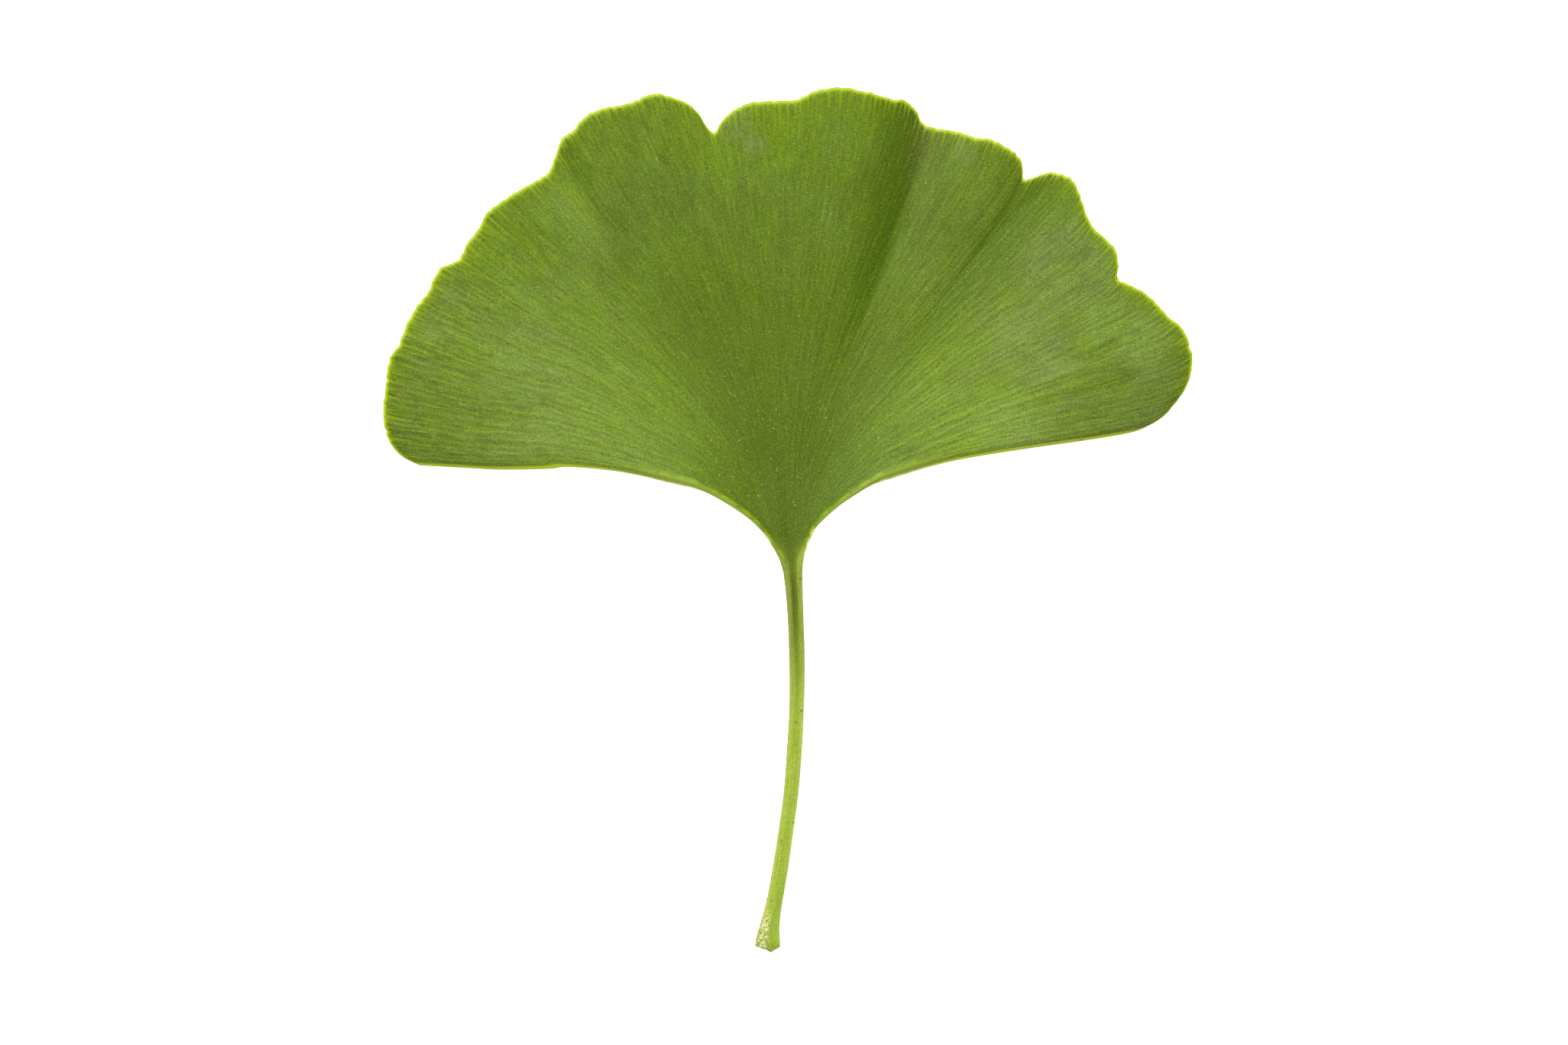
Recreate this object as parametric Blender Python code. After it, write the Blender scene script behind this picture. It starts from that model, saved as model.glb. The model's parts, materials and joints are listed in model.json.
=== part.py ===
"""A ginkgo leaf lying face up: a fan of folded blade that narrows through a thickened neck into its stalk.

The leaf grew in one piece, so it is one closed solid. It is made from one flat grid. Rows run from the foot of the
stalk to the crown, and columns run from the left margin to the right one, as the veins do. Each point of the grid is
placed by formula on the underside of the leaf, and the sheet is then extruded upwards to its thickness.
Plan points are millimetres from the foot of the fan, +x to the right and +y towards the crown.
"""

import math

import bmesh
import bpy
import numpy as np

MM = 0.001

# Thicknesses, in millimetres as all sizes here.
BLADE_THICKNESS = 0.7
STALK_THICKNESS = 1.75
STALK_RIM = 0.35
NECK_REACH = 0.16
FOOT_TAPER = 0.6
FOOT_TAPER_REACH = 0.03

# The raised lip along each lower margin, and the groove that runs from the neck down the face of the stalk.
LIP_HEIGHT = 0.55
LIP_WIDTH = 1.3
LIP_REACH = 0.45
GROOVE_DEPTH = 0.55
GROOVE_WIDTH = 0.35
GROOVE_START = 0.72
GROOVE_FULL = 0.95

# The stalk: place along it, left edge and right edge.
STALK = (
    (-49.7, -3.4, -1.8), (-49.4, -4.25, -1.42), (-48.4, -4.42, -1.36), (-47.0, -4.05, -1.45), (-45.0, -3.45, -1.3),
    (-43.0, -2.97, -0.98), (-39.0, -2.25, -0.3), (-35.0, -1.62, 0.25), (-30.0, -0.94, 0.92), (-25.0, -0.56, 1.32),
    (-21.0, -0.3, 1.54), (-17.0, -0.2, 1.67), (-13.0, -0.25, 1.7), (-9.0, -0.38, 1.57), (-5.0, -0.67, 1.44),
    (-2.5, -0.97, 1.4),
)

# The two lower margins, from the neck out to the tips.
LEFT_MARGIN = (
    (-0.97, -2.5), (-1.35, -1.0), (-1.83, 0.0), (-3.0, 2.0), (-5.0, 4.0), (-8.0, 6.0), (-11.0, 7.5), (-15.0, 8.5),
    (-19.0, 9.45), (-22.5, 10.05), (-27.7, 10.5), (-30.0, 10.25), (-36.0, 10.15), (-40.0, 10.35), (-46.2, 10.7),
)
RIGHT_MARGIN = (
    (1.4, -2.5), (1.45, -1.0), (1.6, 0.0), (2.3, 1.9), (3.0, 3.0), (5.0, 4.9), (7.0, 6.4), (10.0, 8.2),
    (13.0, 9.2), (16.5, 10.3), (21.0, 11.4), (28.3, 12.6), (36.0, 13.7), (41.0, 14.5), (43.2, 15.05), (45.0, 15.9),
)

# The crown, from the left tip over the lobes to the right tip.
CROWN = (
    (-46.2, 10.7), (-48.0, 11.6), (-49.5, 13.0), (-50.4, 15.2), (-50.6, 17.7), (-50.3, 20.3), (-49.9, 23.3),
    (-49.2, 24.8), (-48.5, 25.7), (-48.0, 27.2), (-47.3, 28.7), (-46.3, 30.4), (-45.0, 32.0), (-44.1, 34.0),
    (-43.3, 35.1), (-42.2, 35.6), (-41.1, 36.1), (-40.6, 37.1), (-39.8, 38.6), (-38.8, 39.7), (-38.0, 41.3),
    (-37.2, 42.3), (-35.9, 43.2), (-34.4, 44.2), (-32.3, 45.4), (-30.8, 46.2), (-29.9, 47.0),
    # The left shoulder lobe, as far as the notch at its right.
    (-29.3, 48.4), (-28.8, 50.0), (-28.1, 51.3), (-27.0, 52.0), (-26.0, 53.3), (-25.0, 54.1), (-23.3, 54.8),
    (-20.2, 55.4), (-18.5, 56.1), (-17.3, 56.55), (-16.2, 56.6), (-14.5, 56.1), (-12.9, 55.5), (-11.6, 54.4),
    (-10.6, 52.8), (-9.8, 51.95),
    # The middle lobe, as far as the deep fold.
    (-9.3, 51.95), (-8.8, 52.8), (-8.0, 53.9), (-6.3, 55.0), (-5.0, 55.5), (-2.5, 55.7), (0.5, 55.8),
    (1.5, 56.15), (2.7, 56.8), (4.3, 57.15), (6.2, 57.3), (8.0, 57.0), (10.5, 56.45), (12.6, 55.85),
    (13.8, 55.9), (14.9, 55.2), (15.7, 54.3), (16.2, 53.2),
    # The right shoulder lobe and the small round lobe after its notch.
    (16.8, 52.8), (18.3, 52.4), (20.6, 52.0), (23.0, 51.2), (24.5, 51.05), (26.5, 50.1), (27.8, 49.2),
    (28.6, 48.2), (28.75, 47.2), (28.7, 46.3), (29.2, 46.1), (30.4, 46.5), (32.1, 46.95), (33.8, 46.6),
    (35.0, 45.8), (35.7, 44.3), (36.4, 42.2), (37.2, 40.4), (38.5, 39.1), (39.8, 37.9), (40.4, 36.7),
    (40.5, 35.2), (40.4, 34.0),
    # The right-hand lobe, round to the right tip.
    (40.7, 33.5), (42.2, 32.9), (44.0, 31.9), (45.2, 30.8), (46.9, 29.0), (48.3, 27.9), (49.0, 26.8),
    (49.6, 24.9), (49.8, 23.6), (49.5, 21.6), (48.8, 19.9), (47.4, 18.0), (46.3, 16.8), (45.0, 15.9),
)

# The folds along the veins: angle of the crease, its depth (less than nothing for a ridge), its reach to the left
# and to the right in degrees, the share of the way from neck to crown at which it begins, and how rounded it is. On
# its way down to the neck a crease drifts to the right of its vein by these degrees.
FOLD_DRIFT = 7.5
FOLDS = (
    (124.0, -0.5, 5.0, 4.0, 0.5, 1.6),
    (80.5, -1.1, 9.0, 4.5, 0.25, 2.0),
    (72.6, 1.3, 3.6, 7.0, 0.25, 1.2),
    (62.5, -0.3, 5.0, 2.5, 0.4, 2.0),
    (58.3, 0.7, 1.8, 5.0, 0.35, 1.2),
)

# Heights of the smooth underside above the table, and how soon each lift is reached.
LOWEST = 0.3
NECK_HEIGHT = 2.3
NECK_POWER = 4.0
CROWN_HEIGHT = 2.5
CROWN_POWER = 3.0
TIP_DROP = 1.9
MARGIN_LIFT = 2.6
MARGIN_POWER = 2.5
MARGIN_PEAK = 0.65
WAVE_HEIGHT = 0.08
WAVES = 13
FOOT_HEIGHT = 0.4
STALK_LEVEL_END = -34.0

# The three low points round the leaf's weight on which it rests: place, and radius of the flat spot. A cone of this
# slope rises from each spot to the smooth underside.
LOW_POINTS = ((-14.0, 21.0, 0.8), (11.5, 21.0, 0.8), (-1.5, 38.0, 1.6))
LOW_POINT_SLOPE = 0.3

# The grid: columns at the crown, rows along the stalk and the blade, and how far apart columns may grow.
COLUMNS = 128
STALK_COLUMNS = 8
STALK_ROWS = 20
BLADE_ROWS = 25
COLUMN_WIDTH = 1.7
FAN_WIDTH = 150.0
MERGE_DISTANCE = 1e-7


def smoothstep(low, high, value):
    share = np.clip((value - low) / (high - low), 0.0, 1.0)
    return share * share * (3.0 - 2.0 * share)


def smooth_curve(points, steps=8):
    """Points of a Catmull-Rom curve that passes through the given points."""
    p = np.array(points, float)
    padded = np.vstack([2 * p[0] - p[1], p, 2 * p[-1] - p[-2]])
    t = np.linspace(0.0, 1.0, steps, endpoint=False)[:, None]
    pieces = []
    for a, b, c, d in zip(padded, padded[1:], padded[2:], padded[3:]):
        bend = (2 * a - 5 * b + 4 * c - d) * t**2 + (3 * b - a - 3 * c + d) * t**3
        pieces.append(b + 0.5 * ((c - a) * t + bend))
    return np.vstack([*pieces, p[-1:]])


def along(points, share):
    """The point at a share of the curve's length."""
    curve = smooth_curve(points)
    length = np.concatenate([[0.0], np.cumsum(np.hypot(*np.diff(curve, axis=0).T))])
    at = share * length[-1]
    return np.stack([np.interp(at, length, curve[:, k]) for k in (0, 1)], axis=-1)


def polar_degrees(points):
    return np.degrees(np.arctan2(points[..., 1], points[..., 0]))


LEFT_ANGLE, RIGHT_ANGLE = polar_degrees(np.array([CROWN[0], CROWN[-1]]))


def vein_angle(u):
    """The angle at which a vein reaches the crown, where u is 0 at the left margin and 1 at the right one."""
    return LEFT_ANGLE + (RIGHT_ANGLE - LEFT_ANGLE) * u


def crown_point(u):
    curve = smooth_curve(CROWN)
    radius = np.interp(-vein_angle(u), -polar_degrees(curve), np.hypot(*curve.T))
    angle = np.radians(vein_angle(u))
    return np.stack([radius * np.cos(angle), radius * np.sin(angle)], axis=-1)


def blade_plan(u, v):
    """Plan of the blade, where v is 0 at the neck and 1 at the crown. Each row is a chord from one lower margin to the
    other, bulged by its share of the crown."""
    chord = (1 - u)[..., None] * along(LEFT_MARGIN, v) + u[..., None] * along(RIGHT_MARGIN, v)
    tips = (1 - u)[..., None] * np.array(CROWN[0]) + u[..., None] * np.array(CROWN[-1])
    return chord + v[..., None] * (crown_point(u) - tips)


def stalk_plan(u, share):
    """Plan of the stalk, where share is 0 at its foot and 1 at the neck."""
    curve = smooth_curve(STALK)
    y = STALK[0][0] + share * (STALK[-1][0] - STALK[0][0])
    left, right = (np.interp(y, curve[:, 0], curve[:, k]) for k in (1, 2))
    return np.stack([left + (right - left) * u, y], axis=-1)


def fold_depth(u, v):
    depth = np.zeros_like(u)
    for crease, deepest, left_reach, right_reach, start, sharpness in FOLDS:
        off = vein_angle(u) - crease + FOLD_DRIFT * (1 - v)
        reach = np.where(off > 0, left_reach, right_reach)
        depth += deepest * np.exp(-np.abs(off / reach) ** sharpness) * smoothstep(start, 1.0, v)
    return depth


def blade_underside(u, v):
    """Height of the blade's smooth underside: a shallow dish with raised lower margins, folded along the veins."""
    side = np.abs(2 * u - 1)
    height = LOWEST + (NECK_HEIGHT - LOWEST) * (1 - v) ** NECK_POWER
    height += (CROWN_HEIGHT - TIP_DROP * side**4) * v**CROWN_POWER
    height += MARGIN_LIFT * side**MARGIN_POWER * np.sin(math.pi * v**MARGIN_PEAK)
    height += WAVE_HEIGHT * np.sin(2 * math.pi * WAVES * u) * smoothstep(0.5, 1.0, v)
    return np.maximum(height - fold_depth(u, v), LOWEST)


def stalk_underside(y):
    return FOOT_HEIGHT + (NECK_HEIGHT - FOOT_HEIGHT) * smoothstep(STALK_LEVEL_END, STALK[-1][0], y)


def rest_on_low_points(plan, under):
    """The underside let down to the table at the three low points."""
    for x, y, flat in LOW_POINTS:
        from_spot = np.hypot(plan[:, 0] - x, plan[:, 1] - y) - flat
        under = np.minimum(under, LOW_POINT_SLOPE * np.maximum(from_spot, 0.0))
    return under


def stalk_section(across, share):
    """Rise of the underside and thickness of the round, grooved stalk, where across is -1 to 1."""
    foot = FOOT_TAPER + (1 - FOOT_TAPER) * smoothstep(0, FOOT_TAPER_REACH, share)
    oval = np.sqrt(np.clip(1 - across**2, 0, 1))
    thickness = (STALK_RIM + (STALK_THICKNESS - STALK_RIM) * oval) * foot
    groove = GROOVE_DEPTH * np.exp(-((across / GROOVE_WIDTH) ** 2)) * smoothstep(GROOVE_START, GROOVE_FULL, share)
    return (STALK_THICKNESS - thickness) / 2, thickness - groove


def blade_section(across, v):
    """Thickness of the blade, with a lip along each lower margin that dies away towards the tips."""
    from_margin = (1 - np.abs(across)) * (STALK_THICKNESS + FAN_WIDTH * v) / 2
    lip = np.exp(-(((from_margin - LIP_WIDTH / 2) / LIP_WIDTH) ** 2)) * (1 - smoothstep(0, LIP_REACH, v))
    return BLADE_THICKNESS + LIP_HEIGHT * lip


def place(u, v):
    """Points on the underside and the thickness there, for the share u of the way across and the row v, which is -1 at
    the foot, 0 at the neck and 1 at the crown."""
    blade_v = np.clip(v, 0, 1)
    stalk_share = np.clip(v + 1, 0, 1)
    body = smoothstep(NECK_REACH, 0.0, blade_v)
    u = u + ((1 - np.cos(math.pi * u)) / 2 - u) * body
    plan = np.where((v > 0)[:, None], blade_plan(u, blade_v), stalk_plan(u, stalk_share))
    under = np.where(v > 0, blade_underside(u, blade_v), stalk_underside(plan[:, 1]))
    belly, stalk_thickness = stalk_section(2 * u - 1, stalk_share)
    blade_thickness = blade_section(2 * u - 1, blade_v)
    thickness = blade_thickness + (stalk_thickness - blade_thickness) * body
    under += belly * body
    rest = rest_on_low_points(plan, under)
    return np.column_stack([plan, rest]), thickness + under - rest


def columns_at(v):
    """How many columns a row has: it doubles on the way out, as the veins fork."""
    count = STALK_COLUMNS
    while count < COLUMNS and max(v, 0.0) * FAN_WIDTH / count > COLUMN_WIDTH:
        count *= 2
    return count


def row_shares():
    stalk = -1 + np.linspace(0, 1, STALK_ROWS, endpoint=False) ** 1.6
    blade = np.linspace(0, 1, BLADE_ROWS + 1) ** 1.1
    return np.concatenate([stalk, blade])


def column_shares(column, v):
    """Share of the way across of each column: even in the stalk, and even along the margin at the crown."""
    even = column / COLUMNS
    by_crown = (LEFT_ANGLE - polar_degrees(along(CROWN, even))) / (LEFT_ANGLE - RIGHT_ANGLE)
    return even + (by_crown - even) * smoothstep(0.0, 0.5, v)


def place_sheet(bm, thickness_layer):
    """A flat grid, its columns merged in twos towards the stalk, laid on the underside of the leaf."""
    rows = row_shares()
    bmesh.ops.create_grid(bm, x_segments=COLUMNS, y_segments=len(rows) - 1, size=1.0)
    grid = np.array([vert.co for vert in bm.verts])
    column = np.round((grid[:, 0] + 1) / 2 * COLUMNS)
    row = np.round((grid[:, 1] + 1) / 2 * (len(rows) - 1)).astype(int)
    step = np.array([COLUMNS // columns_at(v) for v in rows])[row]
    v = rows[row]
    points, thickness = place(column_shares(np.round(column / step) * step, v), v)
    for vert, point, thick in zip(bm.verts, points, thickness):
        vert.co = point * MM
        vert[thickness_layer] = thick * MM
    bmesh.ops.remove_doubles(bm, verts=bm.verts, dist=MERGE_DISTANCE)
    bmesh.ops.triangulate(bm, faces=bm.faces)


def extrude_to_thickness(bm, thickness_layer):
    extruded = bmesh.ops.extrude_face_region(bm, geom=bm.faces[:], use_keep_orig=True)["geom"]
    for vert in extruded:
        if isinstance(vert, bmesh.types.BMVert):
            vert.co.z += vert[thickness_layer]
    bmesh.ops.triangulate(bm, faces=bm.faces)
    bmesh.ops.recalc_face_normals(bm, faces=bm.faces)


def centre_on_table(bm):
    """Puts the origin under the middle of the leaf, on the table."""
    corners = np.array([vert.co for vert in bm.verts])
    low, high = corners.min(axis=0), corners.max(axis=0)
    middle = (low + high) / 2
    bmesh.ops.translate(bm, verts=bm.verts, vec=(-middle[0], -middle[1], -low[2]))


def leaf_mesh():
    bm = bmesh.new()
    thickness_layer = bm.verts.layers.float.new("thickness")
    place_sheet(bm, thickness_layer)
    extrude_to_thickness(bm, thickness_layer)
    centre_on_table(bm)
    mesh = bpy.data.meshes.new("ginkgo_leaf")
    bm.to_mesh(mesh)
    bm.free()
    mesh.shade_smooth()
    return mesh


def leaf_material():
    material = bpy.data.materials.new("leaf_green")
    material.use_nodes = True
    shader = material.node_tree.nodes["Principled BSDF"]
    shader.inputs["Base Color"].default_value = (0.14, 0.25, 0.03, 1.0)
    shader.inputs["Roughness"].default_value = 0.55
    shader.inputs["Metallic"].default_value = 0.0
    return material


def main():
    for obj in list(bpy.data.objects):
        bpy.data.objects.remove(obj)
    leaf = bpy.data.objects.new("ginkgo_leaf", leaf_mesh())
    leaf.data.materials.append(leaf_material())
    collection = bpy.data.collections.new("ginkgo_leaf")
    bpy.context.scene.collection.children.link(collection)
    collection.objects.link(leaf)


main()
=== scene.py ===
"""Looks of a ginkgo leaf lying face up: one fine sheet of blade and stalk, and the greens of both faces."""

import json
import math

import bpy
import numpy as np
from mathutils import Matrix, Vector

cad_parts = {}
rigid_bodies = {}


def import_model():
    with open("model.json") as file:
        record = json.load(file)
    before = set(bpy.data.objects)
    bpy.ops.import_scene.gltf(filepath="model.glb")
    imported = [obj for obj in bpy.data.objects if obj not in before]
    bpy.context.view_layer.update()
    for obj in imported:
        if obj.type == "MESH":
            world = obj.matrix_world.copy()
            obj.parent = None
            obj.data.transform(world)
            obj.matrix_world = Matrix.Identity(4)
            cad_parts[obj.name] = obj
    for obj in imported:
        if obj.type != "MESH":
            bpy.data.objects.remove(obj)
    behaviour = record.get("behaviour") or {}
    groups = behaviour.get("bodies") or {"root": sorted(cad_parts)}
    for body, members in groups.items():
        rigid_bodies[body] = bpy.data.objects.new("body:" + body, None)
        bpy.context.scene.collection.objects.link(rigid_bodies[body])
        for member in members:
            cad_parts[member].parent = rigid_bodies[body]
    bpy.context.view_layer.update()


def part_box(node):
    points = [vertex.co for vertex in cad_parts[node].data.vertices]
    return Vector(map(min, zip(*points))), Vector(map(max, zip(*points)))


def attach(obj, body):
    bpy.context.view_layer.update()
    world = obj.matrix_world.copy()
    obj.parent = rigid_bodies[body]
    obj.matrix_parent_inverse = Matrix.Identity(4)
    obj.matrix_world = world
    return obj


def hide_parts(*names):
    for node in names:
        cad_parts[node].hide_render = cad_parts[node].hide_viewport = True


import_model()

MM = 0.001
NODE = "ginkgo_leaf"
UV_NAME = "leaf"

# Sizes here are in millimetres, and angles in degrees. Plan points are measured from the foot of the fan,
# where the veins would meet.
BLADE_THICKNESS = 0.42
EDGE_THICKNESS = 0.2
EDGE_REACH = 0.7
STALK_THICKNESS = 1.75
STALK_RIM = 0.35
NECK_REACH = 0.16
FOOT_TAPER = 0.6
FOOT_TAPER_REACH = 0.03
LIP_HEIGHT = 0.55
LIP_WIDTH = 1.3
LIP_REACH = 0.45
GROOVE_DEPTH = 0.55
GROOVE_WIDTH = 0.35
GROOVE_START = 0.72
GROOVE_FULL = 0.95

# The stalk: place along it, left edge and right edge.
STALK = (
    (-49.7, -3.4, -1.8), (-49.4, -4.25, -1.42), (-48.4, -4.42, -1.36), (-47.0, -4.05, -1.45),
    (-45.0, -3.45, -1.3), (-43.0, -2.97, -0.98), (-39.0, -2.25, -0.3), (-35.0, -1.62, 0.25),
    (-30.0, -0.94, 0.92), (-25.0, -0.56, 1.32), (-21.0, -0.3, 1.54), (-17.0, -0.2, 1.67),
    (-13.0, -0.25, 1.7), (-9.0, -0.38, 1.57), (-5.0, -0.67, 1.44), (-2.5, -0.97, 1.4),
)

# The two lower margins, from the neck out to the tips.
LEFT_MARGIN = (
    (-0.97, -2.5), (-1.35, -1.0), (-1.83, 0.0), (-3.0, 2.0), (-5.0, 4.0), (-8.0, 6.0), (-11.0, 7.5),
    (-15.0, 8.5), (-19.0, 9.45), (-22.5, 10.05), (-27.7, 10.5), (-30.0, 10.25), (-36.0, 10.15),
    (-40.0, 10.35), (-46.2, 10.7),
)
RIGHT_MARGIN = (
    (1.4, -2.5), (1.45, -1.0), (1.6, 0.0), (2.3, 1.9), (3.0, 3.0), (5.0, 4.9), (7.0, 6.4), (10.0, 8.2),
    (13.0, 9.2), (16.5, 10.3), (21.0, 11.4), (28.3, 12.6), (36.0, 13.7), (41.0, 14.5), (43.2, 15.05),
    (45.0, 15.9),
)

# The crown, from the left tip over the lobes to the right tip.
CROWN = (
    (-46.2, 10.7), (-48.0, 11.6), (-49.5, 13.0), (-50.4, 15.2), (-50.6, 17.7), (-50.3, 20.3), (-49.9, 23.3),
    (-49.2, 24.8), (-48.5, 25.7), (-48.0, 27.2), (-47.3, 28.7), (-46.3, 30.4), (-45.0, 32.0), (-44.1, 34.0),
    (-43.3, 35.1), (-42.2, 35.6), (-41.1, 36.1), (-40.6, 37.1), (-39.8, 38.6), (-38.8, 39.7), (-38.0, 41.3),
    (-37.2, 42.3), (-35.9, 43.2), (-34.4, 44.2), (-32.3, 45.4), (-30.8, 46.2), (-29.9, 47.0),
    # The left shoulder lobe, as far as the notch at its right.
    (-29.3, 48.4), (-28.8, 50.0), (-28.1, 51.3), (-27.0, 52.0), (-26.0, 53.3), (-25.0, 54.1), (-23.3, 54.8),
    (-20.2, 55.4), (-18.5, 56.1), (-17.3, 56.55), (-16.2, 56.6), (-14.5, 56.1), (-12.9, 55.5), (-11.6, 54.4),
    (-10.6, 52.8), (-9.8, 51.95),
    # The middle lobe, as far as the deep fold.
    (-9.3, 51.95), (-8.8, 52.8), (-8.0, 53.9), (-6.3, 55.0), (-5.0, 55.5), (-2.5, 55.7), (0.5, 55.8),
    (1.5, 56.15), (2.7, 56.8), (4.3, 57.15), (6.2, 57.3), (8.0, 57.0), (10.5, 56.45), (12.6, 55.85),
    (13.8, 55.9), (14.9, 55.2), (15.7, 54.3), (16.2, 53.2),
    # The right shoulder lobe and the small round lobe after its notch.
    (16.8, 52.8), (18.3, 52.4), (20.6, 52.0), (23.0, 51.2), (24.5, 51.05), (26.5, 50.1), (27.8, 49.2),
    (28.6, 48.2), (28.75, 47.2), (28.7, 46.3), (29.2, 46.1), (30.4, 46.5), (32.1, 46.95), (33.8, 46.6),
    (35.0, 45.8), (35.7, 44.3), (36.4, 42.2), (37.2, 40.4), (38.5, 39.1), (39.8, 37.9), (40.4, 36.7),
    (40.5, 35.2), (40.4, 34.0),
    # The right-hand lobe, round to the right tip.
    (40.7, 33.5), (42.2, 32.9), (44.0, 31.9), (45.2, 30.8), (46.9, 29.0), (48.3, 27.9), (49.0, 26.8),
    (49.6, 24.9), (49.8, 23.6), (49.5, 21.6), (48.8, 19.9), (47.4, 18.0), (46.3, 16.8), (45.0, 15.9),
)

# The folds along the veins: angle of the crease, its depth (less than nothing for a ridge), its reach to
# the left and to the right in degrees, the share of the way from neck to crown at which it begins, and how
# rounded it is. On its way down to the neck a crease drifts to the right of its vein by these degrees.
DEEP_FOLD = 72.6
NOTCH_FOLD = 58.3
STRIP_ANGLE = 122.2
FOLD_DRIFT = 7.5
FOLDS = (
    (124.0, -0.5, 5.0, 4.0, 0.5, 1.6),
    (80.5, -1.1, 9.0, 4.5, 0.25, 2.0),
    (DEEP_FOLD, 1.3, 3.6, 7.0, 0.25, 1.2),
    (62.5, -0.3, 5.0, 2.5, 0.4, 2.0),
    (NOTCH_FOLD, 0.7, 1.8, 5.0, 0.35, 1.2),
)

# Heights of the smooth underside above the table, and how soon each lift is reached.
LOWEST = 0.3
NECK_HEIGHT = 2.3
NECK_POWER = 4.0
CROWN_HEIGHT = 2.5
CROWN_POWER = 3.0
TIP_DROP = 1.9
MARGIN_LIFT = 2.6
MARGIN_POWER = 2.5
MARGIN_PEAK = 0.65
WAVE_HEIGHT = 0.08
WAVES = 13
FOOT_HEIGHT = 0.4
STALK_LEVEL_END = -34.0

# The three low points round the leaf's weight on which it rests: place, and radius of the flat spot. A cone
# of this slope rises from each spot to the smooth underside.
LOW_POINTS = ((-14.0, 21.0, 0.8), (11.5, 21.0, 0.8), (-1.5, 38.0, 1.6))
LOW_POINT_SLOPE = 0.3

# The veins fork in two on the way out. These many leave the neck. A vein forks where the space between two
# of them reaches this width, give or take the scatter, and its pair draws apart over this share of the way
# so far.
FIRST_VEINS = 8
VEIN_ORDERS = 6
FORK_SPACE = 0.9
FORK_SCATTER = 0.2
FORK_SPREAD = 0.22
GOLDEN = 0.618034
VEIN_HEIGHT = 0.02
VEIN_WIDTH = 0.16

# Soft ribs of the blade, a few veins wide, the uneven edge of the crown, and the foot of the stalk: grains
# on its left side, beads along its left edge and a blunt point at its end.
RIB_HEIGHT = 0.014
RIB_WAVES = (34, 80)
RIB_GROUPS = (4, 9)
EDGE_WANDER = 0.035
EDGE_WAVES = (50, 190)
GRAIN_HEIGHT = 0.06
GRAIN_END = -45.0
GRAIN_WAVES_ALONG = (4, 14)
GRAIN_WAVES_ACROSS = (0.4, 2.5)
BEAD_HEIGHT = 0.07
BEAD_END = -41.0
BEAD_REACH = 3.0
BEAD_WAVES = (70, 150)
FOOT_POINT = 0.45
FOOT_POINT_END = -48.8
FOOT_POINT_SHARE = 0.55

# The grid: columns at the crown and in the stalk, rows along the stalk, closer in this share of it at the
# foot, rows along the blade, closer towards the neck, the last ones at these distances from the crown, and
# how far apart columns may grow. The fan is this wide along its crown, and this long. Points closer than
# the merge distance become one.
COLUMNS = 1024
STALK_COLUMNS = 32
STALK_ROWS = 46
FOOT_ROWS = 50
FOOT_SHARE = 0.17
BLADE_ROWS = 84
EDGE_ROWS = (0.5, 0.28, 0.1)
ROW_CROWDING = 1.1
COLUMN_WIDTH = 0.24
FAN_WIDTH = 150.0
FAN_RADIUS = 52.0
MERGE_DISTANCE = 0.0001

# The view of the photograph: straight down, with this width of table across the picture.
PICTURE_WIDTH = 195.05
PICTURE_MIDDLE = (-0.457, -0.229)
LENS = 85.0
SENSOR = 36.0

# The white room, the lamp in it and the white table under the leaf.
WHITE = (1.0, 1.0, 1.0, 1.0)
ROOM_LIGHT = 0.55
LAMP_SIZE = 500.0
LAMP_POWER = 16.0
LAMP_PLACE = (-250.0, 750.0, 800.0)
FLOOR_SIZE = 6000.0
FLOOR_GAP = 0.04
FLOOR_WHITE = (0.9, 0.9, 0.9, 1.0)
FLOOR_ROUGHNESS = 0.9
FLOOR_GLOW = 0.72

# The middle of the leaf's box, as a plan point.
BOX_MIDDLE = (-0.4, 3.8)


def smoothstep(low, high, value):
    """0 at the low end and 1 at the high one, eased at both. It takes arrays and node values alike."""
    share = ((value - low) / (high - low)).clip(0.0, 1.0)
    return share * share * (3.0 - 2.0 * share)


def smooth_curve(points, steps=8):
    """Points of a Catmull-Rom curve that passes through the given points."""
    p = np.array(points, float)
    padded = np.vstack([2 * p[0] - p[1], p, 2 * p[-1] - p[-2]])
    t = np.linspace(0.0, 1.0, steps, endpoint=False)[:, None]
    pieces = []
    for a, b, c, d in zip(padded, padded[1:], padded[2:], padded[3:]):
        bend = (2 * a - 5 * b + 4 * c - d) * t**2 + (3 * b - a - 3 * c + d) * t**3
        pieces.append(b + 0.5 * ((c - a) * t + bend))
    return np.vstack([*pieces, p[-1:]])


def along(points, share):
    """The point at a share of the curve's length."""
    curve = smooth_curve(points)
    length = np.concatenate([[0.0], np.cumsum(np.hypot(*np.diff(curve, axis=0).T))])
    at = share * length[-1]
    return np.stack([np.interp(at, length, curve[:, k]) for k in (0, 1)], axis=-1)


def polar_degrees(points):
    return np.degrees(np.arctan2(points[..., 1], points[..., 0]))


LEFT_ANGLE, RIGHT_ANGLE = polar_degrees(np.array([CROWN[0], CROWN[-1]])).tolist()


def vein_angle(u):
    """The angle at which a vein reaches the crown, where u is 0 at the left margin and 1 at the right one."""
    return LEFT_ANGLE + (RIGHT_ANGLE - LEFT_ANGLE) * u


def wander(share, waves, seed, terms=14):
    """A smooth random wave along the share, of this range of wave counts and a rms of 1."""
    random = np.random.default_rng(seed)
    counts = random.uniform(*waves, terms)
    starts = random.uniform(0.0, 1.0, terms)
    wave = sum(np.sin(2 * math.pi * (count * share + start)) for count, start in zip(counts, starts))
    return wave * math.sqrt(2 / terms)


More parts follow.
